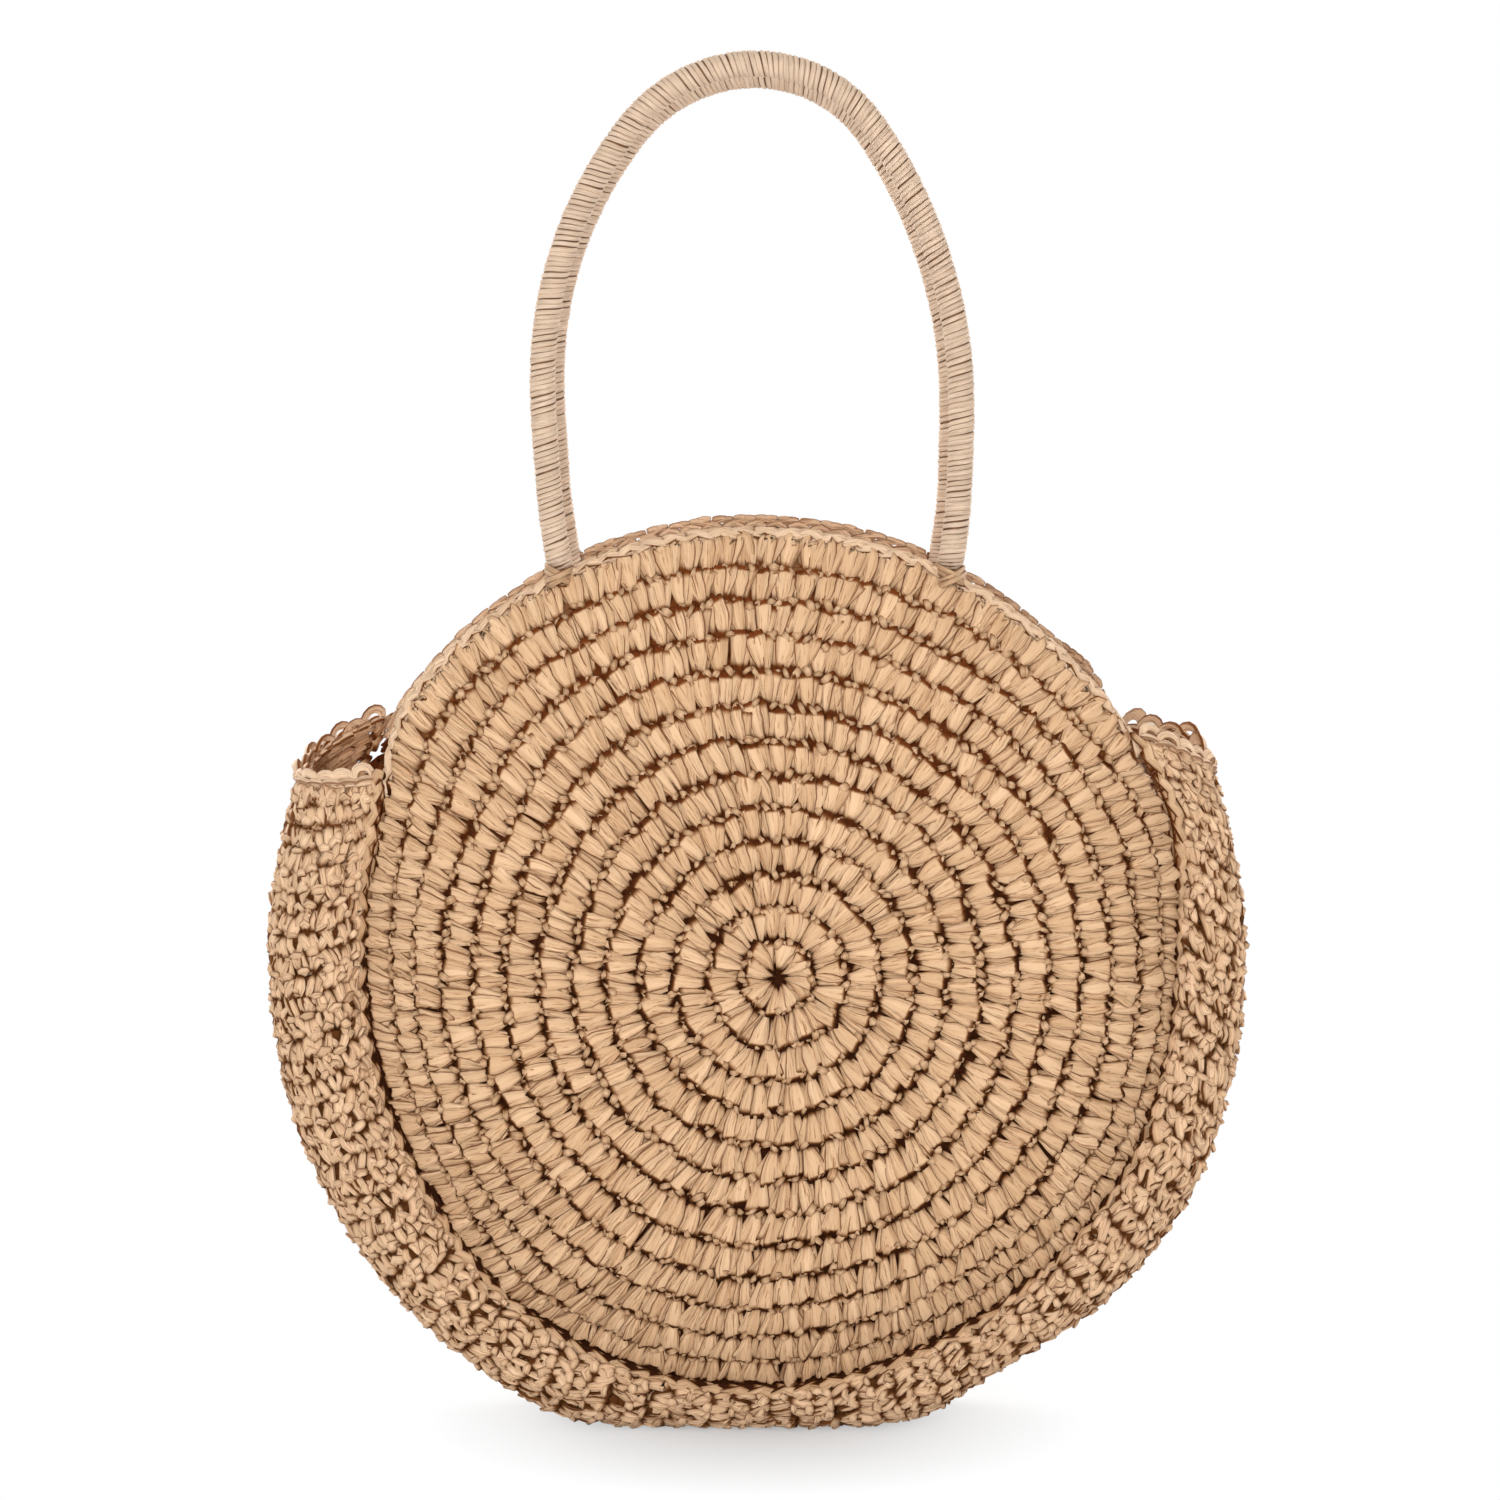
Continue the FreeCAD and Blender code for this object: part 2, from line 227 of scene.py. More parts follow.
def sway(points):
    # the soft bag leans over between its two faces, and is held at the floor and where the handles are
    zones = slumpZones
    side = np.sign(points[:, 1]) * rises(np.abs(points[:, 1]), *zones["face"])
    free = rises(points[:, 2], *zones["aboveFloor"]) * (1 - rises(points[:, 2], *zones["nearHandles"]))
    points[:, 0] -= side * free * bagForm["sway"]
    flat = points[:, [0, 2]] - np.array([0.0, middleHeight])
    far = np.linalg.norm(flat, axis=1, keepdims=True)
    slope = np.arctan2(flat[:, 1], np.abs(flat[:, 0]))
    stretch = np.where(points[:, 1] > 0, bagForm["backSpread"], bagForm["frontSpread"]) * np.abs(side)
    stretch = stretch * (rises(slope, *zones["rimSlope"]) * rises(far[:, 0], *zones["rimReach"]))
    stretch = stretch * (1 - rises(far[:, 0], *zones["pastRim"]))
    lifted = rises(points[:, 0], *zones["right"]) * rises(points[:, 1], *zones["behind"])
    points[:, 2] += bagForm["rightLift"] * (lifted * rises(points[:, 2], *zones["high"]))
    points[:, [0, 2]] += flat / np.maximum(1e-6, far) * stretch[:, None]
    return points


def unit(vectors):
    return vectors / np.maximum(1e-12, np.linalg.norm(vectors, axis=-1, keepdims=True))


def runAlong(points):
    # the length of a line of points up to each of them
    return np.concatenate([[0], np.linalg.norm(np.diff(points, axis=0), axis=1).cumsum()])


def addPiece(name, data):
    piece = bpy.data.objects.new(name, data)
    bpy.context.collection.objects.link(piece)
    return piece


def ringShares(rings):
    # more rings near both ends, where a strand turns down into the work
    return 0.5 - 0.5 * np.cos(np.pi * np.arange(rings) / (rings - 1))


# Straw strands: each is a tube of rings along a path, flat, with creases along its top.
class StrawWork:
    def __init__(self, seed, turned=False, crisp=True):
        self.rng = np.random.default_rng(seed)
        self.batches = []
        self.turned = turned
        self.crisp = crisp

    def spread(self, low, high, *shape):
        return self.rng.uniform(low, high, shape)

    def add(self, path, up, wide, thick, sides=10, crease=0.10, sunk=None, cellRings=None, boxy=0.8):
        count, rings = path.shape[:2]
        along = unit(np.gradient(path, axis=1))
        across = unit(np.cross(along, up))
        lift = np.cross(across, along)
        step = -np.pi / 2 + turnRound * np.arange(sides) / sides
        around = step + 0.45 * np.cos(step)           # closer together on the top
        flatX = np.sign(np.cos(around)) * np.abs(np.cos(around)) ** boxy
        flatY = np.sign(np.sin(around)) * np.abs(np.sin(around)) ** boxy
        crinkle = 1 + crease * self.spread(-1.6, 0.6, count, 1, sides) * (0.35 + 0.65 * (flatY > 0))
        crinkle = crinkle + 0.25 * crease * self.spread(-1, 1, count, rings, sides)
        wide = np.broadcast_to(wide, (count, rings))[..., None]
        thick = np.broadcast_to(thick, (count, rings))[..., None]
        points = path[:, :, None] + across[:, :, None] * (flatX * wide)[..., None]
        points = points + lift[:, :, None] * (flatY * thick * crinkle)[..., None]
        beyond = thick[:, [0, -1]] * np.array([-0.5, 0.5])[None, :, None]
        ends = path[:, [0, -1]] + along[:, [0, -1]] * beyond
        share = np.linspace(0, 1, rings)
        # unless told otherwise, a strand is painted darker towards its ends, as shade where it dives in
        if sunk is None:
            sunk = toEnds(share, 3)
        length = np.linalg.norm(np.diff(path, axis=1), axis=2).cumsum(axis=1) / (10 * mm)
        self.batches.append({
            "points": points, "ends": ends, "sunk": np.broadcast_to(sunk, (count, rings)),
            "tint": self.spread(0, 1, count),
            "length": np.concatenate([np.zeros((count, 1)), length], axis=1),
            "cellRings": cellRings or rings - 1,
        })

    def addLoose(self, path, up, wide, look, u):
        # a strand of a chain, a hem or a tie
        # painted shade at its ends, where it dives in
        sunk = look["sunk"] * toEnds(u, 3)
        self.add(path, up, wide, look["thick"], sides=8, crease=0.3, boxy=0.65, sunk=sunk)

    def build(self, name):
        points, tints, sunks, corners, sizes, strandMap, bakeMap, strides = [], [], [], [], [], [], [], []
        used = 0
        cells = 0
        for batch in self.batches:
            count, rings, sides = batch["points"].shape[:3]
            cellRings = batch["cellRings"]
            cellsEach = math.ceil((rings - 1) / cellRings)
            ring = used + np.arange(count * rings * sides).reshape(count, rings, sides)
            tip = used + count * rings * sides + np.arange(2 * count).reshape(count, 2)
            used += count * (rings * sides + 2)
            points += [batch["points"].reshape(-1, 3), batch["ends"].reshape(-1, 3)]
            tints += [np.repeat(batch["tint"], rings * sides), np.repeat(batch["tint"], 2)]
            sunks += [np.repeat(batch["sunk"].ravel(), sides), batch["sunk"][:, [0, -1]].ravel()]
            strides.append(np.full(count * (rings * sides + 2), sides))
            after = np.roll(ring, -1, axis=2)
            quads = np.stack([ring[:, :-1], ring[:, 1:], after[:, 1:], after[:, :-1]], axis=-1)
            tipAt = np.repeat(tip[:, :, None], sides, axis=2)
            caps = np.stack([
                np.stack([tipAt[:, 0], ring[:, 0], after[:, 0]], axis=-1),
                np.stack([tipAt[:, 1], after[:, -1], ring[:, -1]], axis=-1),
            ], axis=1)
            corners += [quads.ravel(), caps.ravel()]
            sizes += [np.full(quads.size // 4, 4), np.full(caps.size // 3, 3)]
            # the strand map: centimetres along, and a share around
            low = np.arange(sides) / sides
            high = low + 1 / sides
            middle = low + 0.5 / sides
            run = batch["length"]
            quadU = np.stack([run[:, :-1], run[:, 1:], run[:, 1:], run[:, :-1]], axis=-1)
            quadU = np.broadcast_to(quadU[:, :, None], quads.shape)
            quadV = np.broadcast_to(np.stack([low, low, high, high], axis=-1), quads.shape)
            capU = np.broadcast_to(run[:, [0, -1]][:, :, None, None], caps.shape)
            capV = np.stack([np.stack([middle, low, high], -1), np.stack([middle, high, low], -1)])
            capV = np.broadcast_to(capV, caps.shape)
            for mapU, mapV in ((quadU, quadV), (capU, capV)):
                strandMap.append(np.stack([mapU, mapV], -1).reshape(-1, 2))
            # the bake map: a cell of its own for each strand, or for each stretch of a long one, in which
            # the strand runs from 0.10 to 0.90, with its tips beyond
            index = np.arange(rings - 1)
            cell = cells + np.arange(count)[:, None] * cellsEach + index // cellRings
            start = (index % cellRings) / cellRings
            stop = start + 1 / cellRings
            cellU = np.broadcast_to(np.stack([start, stop, stop, start], -1)[:, None], quads.shape[1:])
            cellU = np.broadcast_to(cellU, quads.shape)
            quadCell = np.broadcast_to(cell[:, :, None, None], quads.shape)
            lastStop = (index[-1] % cellRings + 1) / cellRings
            capCell = np.broadcast_to(cell[:, [0, -1]][:, :, None, None], caps.shape)
            last = 0.10 + 0.80 * lastStop
            capPlace = np.array([[0.03, 0.10, 0.10], [last + 0.03, last, last]])
            capPlace = np.broadcast_to(capPlace[:, None], caps.shape)
            for shape, spot, place in ((quadCell, quadV, 0.10 + 0.80 * cellU), (capCell, capV, capPlace)):
                bakeMap.append(np.stack([shape, spot, place], -1).reshape(-1, 3))
            cells += count * cellsEach
        columns = math.ceil(math.sqrt(cells))
        bake = np.concatenate(bakeMap)
        bake = np.stack([bake[:, 0] % columns + 0.04 + 0.92 * bake[:, 1],
                         bake[:, 0] // columns + bake[:, 2]], axis=-1) / columns
        points = np.concatenate(points)
        if self.turned:
            points = points * halfTurn
        points = sway(points)
        points[:, 2] = np.maximum(points[:, 2], bagForm["floorClear"])
        corners = np.concatenate(corners).astype(np.int32)
        sizes = np.concatenate(sizes)
        mesh = bpy.data.meshes.new(name)
        mesh.vertices.add(len(points))
        mesh.vertices.foreach_set("co", points.astype(np.float32).ravel())
        mesh.loops.add(len(corners))
        mesh.loops.foreach_set("vertex_index", corners)
        mesh.polygons.add(len(sizes))
        mesh.polygons.foreach_set("loop_start", np.concatenate([[0], sizes.cumsum()[:-1]]).astype(np.int32))
        mesh.polygons.foreach_set("use_smooth", np.ones(len(sizes), bool))
        for mapName, values in (("strand", np.concatenate(strandMap)), ("OFBake", bake)):
            layer = mesh.uv_layers.new(name=mapName)
            layer.uv.foreach_set("vector", values.astype(np.float32).ravel())
        for label, values in (("tint", tints), ("sunk", sunks)):
            layer = mesh.attributes.new(label, "FLOAT", "POINT")
            layer.data.foreach_set("value", np.concatenate(values).astype(np.float32))
        mesh.update(calc_edges=True)
        if self.crisp:
            # the folds along a strand are sharp
            ends = np.zeros(2 * len(mesh.edges), np.int32)
            mesh.edges.foreach_get("vertices", ends)
            ends = ends.reshape(-1, 2)
            folded = np.abs(ends[:, 0] - ends[:, 1]) == np.concatenate(strides)[ends[:, 0]]
            mesh.attributes.new("sharp_edge", "BOOLEAN", "EDGE").data.foreach_set("value", folded)
        mesh.validate()
        print(f"{name}: {cells} straw cells, {len(sizes)} faces")
        return addPiece(name, mesh)


# Finishes: a socket that can be reckoned with, and a tree that adds nodes.
class Value:
    def __init__(self, tree, socket):
        self.tree = tree
        self.socket = socket

    def math(self, operation, first, second):
        return self.tree.node("Math", {"operation": operation}, {0: first, 1: second})

    def __add__(self, other):
        return self.math("ADD", self, other)

    def __sub__(self, other):
        return self.math("SUBTRACT", self, other)

    def __rsub__(self, other):
        return self.math("SUBTRACT", other, self)

    def __mul__(self, other):
        return self.math("MULTIPLY", self, other)

    __radd__ = __add__
    __rmul__ = __mul__


class Finish:
    def __init__(self, name, data=None):
        self.data = data or bpy.data.materials.new(name)
        self.data.use_nodes = True
        self.tree = self.data.node_tree
        self.tree.nodes.clear()

    def node(self, kind, settings=None, sockets=None, output=0):
        added = self.tree.nodes.new("ShaderNode" + kind)
        for key, value in (settings or {}).items():
            setattr(added, key, value)
        for key, value in (sockets or {}).items():
            if isinstance(value, Value):
                self.tree.links.new(value.socket, added.inputs[key])
            else:
                added.inputs[key].default_value = value
        return Value(self, added.outputs[output]) if added.outputs else None

    def larger(self, first, second):
        return self.node("Math", {"operation": "MAXIMUM"}, {0: first, 1: second})

    def blend(self, factor, first, second):
        mix = {"data_type": "RGBA", "clamp_factor": True}
        return self.node("Mix", mix, {0: factor, 6: first, 7: second}, output=2)

    def spread(self, value, low, high, newLow=0.0, newHigh=1.0):
        sockets = {"Value": value, "From Min": low, "From Max": high, "To Min": newLow, "To Max": newHigh}
        return self.node("MapRange", {"clamp": True}, sockets)


def colour(*picked):
    # red, green and blue in 0 to 255, as a screen shows them
    shares = [value / 255 for value in picked]
    linear = [share / 12.92 if share < 0.04045 else ((share + 0.055) / 1.055) ** 2.4 for share in shares]
    return (*linear, 1.0)


# The straw's colours. The deep brown is the colour of painted shade in gaps and grooves, the warm one a
# painted glow of light through the lining, and the line colour serves both the fibre lines and the first step
# of painted shade; the shares set how strongly each painted shade is laid on.
strawLook = {
    "pale": colour(226, 190, 153),
    "tan": colour(193, 153, 114),
    "brown": colour(54, 24, 7),
    "warm": colour(120, 60, 25),
    "line": colour(132, 80, 38),
    "streaks": 26.0,             # fibres around a strand
    "roughness": 0.52,
    "sunkShare": 1.0,
    "lineShare": 0.7,
    "edgeShare": 0.9,
    "shadeShare": 0.4,
}
panelLook = dict(strawLook, pale=colour(228, 192, 155), tan=colour(197, 157, 118),
                 edgeShare=0.6, shadeShare=0.22)
gussetLook = dict(strawLook, pale=colour(241, 205, 169), tan=colour(211, 172, 134),
                  edgeShare=0.58, sunkShare=0.74)
# painted backlight: the rims and hems are a paler copy of the straw, with fainter painted shade, as if lit
# from behind
rimBacklitLook = dict(strawLook, pale=colour(242, 210, 178), tan=colour(220, 185, 150), brown=colour(110, 66, 34),
               edgeShare=0.6, shadeShare=0.1)
# painted light: the handles' winding is a paler, greyer copy of the straw, as if washed by the bright
# backdrop behind
woundFlareLook = dict(strawLook, pale=colour(247, 222, 198), tan=colour(229, 199, 171), brown=colour(132, 92, 60),
                 line=colour(178, 144, 112), edgeShare=0.8, shadeShare=0.2)


def makeStraw(name, look):
    finish = Finish(name)
    strand = finish.node("UVMap", {"uv_map": "strand"})
    run = finish.node("SeparateXYZ", None, {0: strand}, output=0)
    around = finish.node("SeparateXYZ", None, {0: strand}, output=1)
    tint = finish.node("Attribute", {"attribute_name": "tint"}, output=2)
    sunk = finish.node("Attribute", {"attribute_name": "sunk"}, output=2)
    fibreAt = finish.node("CombineXYZ", None, {
        0: run * 0.8 + tint * 31.0, 1: around * look["streaks"], 2: tint * 7.0,
    })
    grain = {"Vector": fibreAt, "Scale": 1.0, "Detail": 4.0, "Roughness": 0.65}
    fibre = finish.node("TexNoise", None, grain)
    foldAt = finish.node("CombineXYZ", None, {
        0: run * 0.35 + tint * 13.0, 1: around * look["streaks"] * 0.45, 2: tint * 3.0,
    })
    fold = finish.node("TexNoise", None, {"Vector": foldAt, "Scale": 1.0, "Detail": 2.0})
    streak = finish.spread(fibre * 0.6 + fold * 0.4, 0.36, 0.64)
    base = finish.blend(streak * 0.55 + tint * 0.45, look["tan"], look["pale"])
    lines = finish.spread(fibre, 0.36, 0.43, look["lineShare"], 0.0)
    base = finish.blend(lines, base, look["line"])
    # painted shade along a strand's flanks: a dark line on the side that goes under the next strand, a
    # fainter one on the side that lies over its neighbour, and the neighbour's painted shadow across the
    # under side
    under = around - 0.5 + fold * 0.05
    over = 0.5 - around + fold * 0.05
    edge = finish.spread(under, 0.20, 0.27) - finish.spread(under, 0.37, 0.43)
    edge = edge + (finish.spread(over, 0.24, 0.29) - finish.spread(over, 0.37, 0.43)) * 0.7
    shade = finish.spread(under, 0.05, 0.26, 0.0, look["shadeShare"])
    base = finish.blend(shade, base, look["line"])
    # painted shade where a strand dives into the work, in the grooves and the gaps
    deep = finish.spread(sunk + fold * 0.2, 0.21, 0.82) * look["sunkShare"]
    # painted light: towards the open top the painted shade in the gaps turns warm, as light shining through
    # the lining
    place = finish.node("TexCoord", output=3)
    high = finish.spread(finish.node("SeparateXYZ", None, {0: place}, output=2), 0.20, 0.37)
    brown = finish.blend(high, look["brown"], look["warm"])
    dark = finish.larger(deep, edge * look["edgeShare"])
    # straw in its neighbours' shade turns warm before it turns dark
    base = finish.blend(finish.spread(dark, 0.0, 0.60), base, look["line"])
    straw = finish.blend(finish.spread(dark, 0.25, 1.0), base, brown)
    bump = finish.node("Bump", None, {"Strength": 0.9, "Distance": 0.0012, "Height": fibre * 0.6 + fold})
    shader = finish.node("BsdfPrincipled", None, {
        "Base Color": straw,
        "Roughness": look["roughness"] + 0.16 - streak * 0.2,
        "Normal": bump,
        "Specular IOR Level": 0.06,
    })
    finish.node("OutputMaterial", None, {"Surface": shader})
    return finish.data


liningLook = {"cloth": colour(222, 178, 136), "pale": colour(238, 198, 158), "threads": 1100.0}


def makeLiningCloth(name, look):
    finish = Finish(name)
    place = finish.node("TexCoord", output=3)

    def threads(direction):
        sockets = {"Vector": place, "Scale": look["threads"]}
        return finish.node("TexWave", {"bands_direction": direction}, sockets, output=1)

    weave = threads("X") * 0.5 + threads("Z") * 0.5
    cloud = finish.node("TexNoise", None, {"Vector": place, "Scale": 60.0, "Detail": 3.0})
    cloth = finish.blend(cloud * 0.7 + weave * 0.3, look["cloth"], look["pale"])
    bump = finish.node("Bump", None, {"Strength": 0.25, "Distance": 0.0003, "Height": weave})
    shader = finish.node("BsdfPrincipled", None, {
        "Base Color": cloth, "Roughness": 0.7 - cloud * 0.1, "Normal": bump, "Specular IOR Level": 0.3,
    })
    finish.node("OutputMaterial", None, {"Surface": shader})
    return finish.data


strawFinish = makeStraw("crochetedStraw", strawLook)
panelFinish = makeStraw("panelStraw", panelLook)
gussetFinish = makeStraw("gussetStraw", gussetLook)
rimBacklitFinish = makeStraw("rimStraw", rimBacklitLook)
woundFlareFinish = makeStraw("woundStraw", woundFlareLook)
liningFinish = makeLiningCloth("liningCloth", liningLook)


def settle(piece, finish, nodes, body="bag"):
    piece.data.materials.append(finish)
    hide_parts(*nodes)
    if body:
        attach(piece, body)
    return piece


# The round panels: every stitch is a broad ribbon with slimmer ones beside it, and knots at its foot.
panelWork = {
    "stitchPitch": 8.3 * mm,
    "fewestStitches": 8,
    "ribbonThick": 0.95 * mm,
    "ribbonTop": 1.5 * mm,       # depth of a ribbon's middle line behind the panel's face
    "innerDrop": 3.0 * mm,       # how much deeper it starts, under the round before
    "outerDrop": 1.5 * mm,
    "edgeClear": 0.2 * mm,       # between a ribbon's end and the panel's edge
    "knotBow": 2.2 * mm,         # how much deeper a knot's ends are
    "backDepth": 4.2 * mm,
    "backWide": 2.8 * mm,
    "backThick": 0.7 * mm,
    "crease": 0.55,
    "groups": ((1, 6), (7, 8), (9, 10), (11, 11), (12, 12), (13, 13)),
}


def slowWave(work, angle):
    # a gentle unevenness round a round
    total = 0.0
    for turns in (2, 3, 5, 8, 13):
        height = work.spread(0.3, 1.0, 1)[0]
        total = total + height * np.sin(turns * angle + work.spread(0, turnRound, 1)[0])
    return total / 3


def addRound(work, number):
    look = panelWork
    pitch = bagForm["roundPitch"]
    count = max(look["fewestStitches"], round(turnRound * (number - 0.5) * pitch / look["stitchPitch"]))
    step = turnRound / count
    stitch = step * (np.arange(count) + work.spread(-0.07, 0.07, count) + work.spread(0, 1, 1)[0])
    shift = 0.9 * mm * slowWave(work, stitch) + work.spread(-0.9, 0.9, count) * mm
    sink = 0.4 * mm * slowWave(work, stitch) + work.spread(-0.4, 0.4, count) * mm
    slant = work.spread(-0.38, 0.26, count) - 0.12 * slowWave(work, stitch)
    centre = number == 1
    tucked = 1.0
    if number == bagForm["rounds"]:
        # the last round's ends are tucked down along the seam, and free along the rim
        tucked = 1 - rises(np.sin(stitch), 0.45, 0.15)[:, None]

    def jit(low, high):
        return work.spread(low, high, count)

    def ribbon(rhoFrom, rhoTo, frac, fan, widthShare, narrow, sinkMore, rings, sides):
        u = ringShares(rings)
        rho = rhoFrom[:, None] + (rhoTo - rhoFrom)[:, None] * u
        sideways = frac[:, None] * (narrow + (1 - narrow) * u) + (slant + fan)[:, None] * (u - 0.4)
        sideways = sideways + jit(-0.10, 0.10)[:, None] * arch(u)
        along = np.maximum(0.8 * mm, (number - 1 + rho) * pitch + shift[:, None])
        drop = look["innerDrop"] * (1 - ease(u / 0.42)) + tucked * look["outerDrop"] * rises(u, 0.84, 0.16)
        lean = jit(-0.5, 0.5)[:, None] * mm * (u - 0.5)
        inset = look["ribbonTop"] + sinkMore + drop + lean + sink[:, None]
        angle = stitch[:, None] + sideways * step
        path, up = panelSpot(angle, np.minimum(along, panelReach - look["edgeClear"]), inset)
        roll = jit(-0.52, 0.14)[:, None] + jit(-0.7, 0.7)[:, None] * (u - 0.5)
        up = unit(up + roll[..., None] * unit(np.cross(np.gradient(path, axis=1), up)))
        wide = 0.5 * step * along * widthShare[:, None] * (narrow + (1.08 - narrow) * ease(u / 0.62))
        wide = wide * (1 - 0.14 * rises(u, 0.86, 0.14)) * work.spread(0.93, 1.07, count, rings)
        # painted shade at a ribbon's foot, under the round before, and at its tip where it dives into the
        # groove
        sunk = 1.0 - ease(u / 0.32) + tucked * rises(u, 0.80, 0.18)
        thick = look["ribbonThick"] * (0.8 + 0.2 * arch(u))
        work.add(path, up, wide, thick, sides=sides, crease=look["crease"], sunk=sunk, boxy=0.5)

    inner = 0.08 if centre else -0.08
    ribbon(inner + jit(-0.08, 0.08), 1.10 + jit(-0.10, 0.08), 0.10 + jit(-0.08, 0.08), jit(-0.05, 0.12),
           jit(0.64, 0.90), 0.42, 0.0, 12, 14)
    ribbon(inner + 0.02 + jit(-0.08, 0.10), 1.07 + jit(-0.12, 0.10), -0.40 + jit(-0.08, 0.08),
           jit(-0.25, 0.15), jit(0.44, 0.64), 0.45, 0.15 * mm, 10, 10)
    ribbon(inner + 0.05 + jit(-0.03, 0.16), 1.04 + jit(-0.14, 0.08), 0.52 + jit(-0.08, 0.08),
           jit(-0.3, 0.3), jit(0.30, 0.48), 0.75, 0.5 * mm, 8, 8)
    # knots in the groove between two rounds
    u = ringShares(7)
    knots = (jit(-0.45, -0.05), jit(0.18, 0.34), -0.9), (jit(0.1, 0.5), jit(0.14, 0.28), 0.0)
    for place, reach, deep in () if centre else knots:
        knotAngle = stitch[:, None] + step * (place[:, None] + reach[:, None] * (u - 0.5) * 2)
        tilt = jit(-7.0, 7.0)[:, None] * mm * (u - 0.5) + jit(-1.2, 1.2)[:, None] * mm * arch(u)
        knotInset = look["ribbonTop"] + jit(deep, deep + 1.3)[:, None] * mm + look["knotBow"] * toEnds(u, 2.5)
        path, up = panelSpot(knotAngle, (number - 1 + jit(-0.06, 0.10))[:, None] * pitch + tilt, knotInset)
        # the knots carry painted shade at their ends, where they dive into the groove
        work.add(path, up, jit(1.0, 1.9)[:, None] * mm * (0.5 + 0.6 * arch(u)), 0.8 * mm, sides=7,
                 crease=look["crease"], sunk=0.1 + 0.75 * toEnds(u, 2), boxy=0.65)
    # the back of the stitches, painted dark as the shade seen through the gaps, less so towards the top rim
    u = np.linspace(0, 1, 4)
    lessShadeNearTop = {bagForm["rounds"] - 1: 0.35, bagForm["rounds"]: 0.6}.get(number, 0.0)
    backShade = 1 - lessShadeNearTop * riseShare(stitch)[:, None]
    for rho in (0.12, 0.45, 0.75) if centre else (0.02, 0.34, 0.70):
        angle = stitch[:, None] + step * (u * 1.2 - 0.6)
        path, up = panelSpot(angle, (number - 1 + rho) * pitch, look["backDepth"])
        work.add(path, up, look["backWide"], look["backThick"], sides=6, sunk=backShade)


def makePanel(side, seed):
    for index, (first, last) in enumerate(panelWork["groups"]):
        work = StrawWork(seed + index, side == "back")
        for number in range(first, last + 1):
            addRound(work, number)
        piece = work.build(f"{side}PanelRounds{first}to{last}")
        settle(piece, panelFinish, [f"{side}_panel"])


makePanel("front", 100)
makePanel("back", 200)
print("panels worked")

# The gusset: rows of small slanting stitches across the band, each row ending in a ridge of loops.
gussetWork = {
    "rowPitch": 9.2 * mm,
    "stitches": 19,              # across the band
    "strandWide": 1.85 * mm,
    "strandThick": 0.85 * mm,
    "crease": 0.5,
    "endRows": 5,                # rows at each end where the inside of the band shows
    "sectors": 6,
}
crossShares = np.linspace(-1, 1, 81)
endAngles, endUp = openEnd(crossShares)
midEnd = np.interp(0.0, crossShares, endAngles)
fineAngles = np.linspace(-math.pi - midEnd, midEnd, 721)
midLine = gussetSpot(fineAngles, np.zeros(1), 0.0)[0]
midRun = runAlong(midLine)
gussetRows = round(midRun[-1] / gussetWork["rowPitch"])


def rowAngle(row, across):
    # rows lie straight across the band, and turn to follow the open ends close to them
    share = row / gussetRows
    right = np.interp(across, crossShares, endAngles) - midEnd
    left = np.interp(-across, crossShares, endAngles) - midEnd
    angle = np.interp(row * midRun[-1] / gussetRows, midRun, fineAngles)
    return angle + right * rises(share, 0.65, 0.35) - left * ease((0.35 - share) / 0.35)


